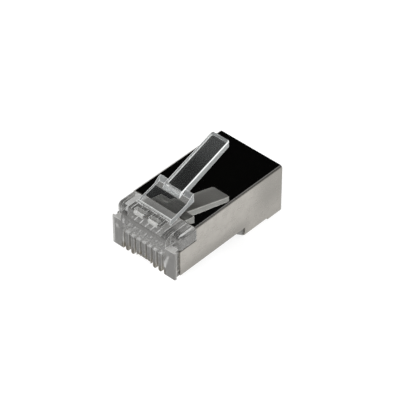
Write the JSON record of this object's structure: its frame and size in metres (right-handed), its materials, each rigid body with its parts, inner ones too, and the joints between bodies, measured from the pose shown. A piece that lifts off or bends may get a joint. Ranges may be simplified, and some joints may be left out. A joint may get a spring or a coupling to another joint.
{
  "type": "shielded ethernet plug",
  "caption": "Clear modular data plug with a folded metal shield, a sprung latch lever and gold contact blades.",
  "frame": {"origin": "under the middle of the plug, at the level of the lowest face of the rear tab", "axes": "-Y out of the nose, the way the plug goes in; +Y to the cable end; +Z to the latch side; contacts face -Z"},
  "size_m": [0.0116, 0.0216, 0.0141],
  "materials": {
    "clear_plastic": "clear moulded polycarbonate, polished",
    "nickel_sheet": "bright nickel plating, mirror on top and satin on the sides",
    "gold_blade": "thin gold plating"
  },
  "bodies": {
    "plug": {"housing": "clear_plastic", "shield": "nickel_sheet", "contact_1": "gold_blade", "contact_2": "gold_blade", "contact_3": "gold_blade", "contact_4": "gold_blade", "contact_5": "gold_blade", "contact_6": "gold_blade", "contact_7": "gold_blade", "contact_8": "gold_blade"},
    "latch": {"latch": "clear_plastic"}
  },
  "joints": [
    {"name": "latch_flex", "type": "hinge", "parent": "plug", "child": "latch", "pos_m": [0, -0.00838, 0.00885], "axis": [-1, 0, 0], "range_deg": [0, 16], "stiffness_Nm_per_rad": 0.2}
  ]
}
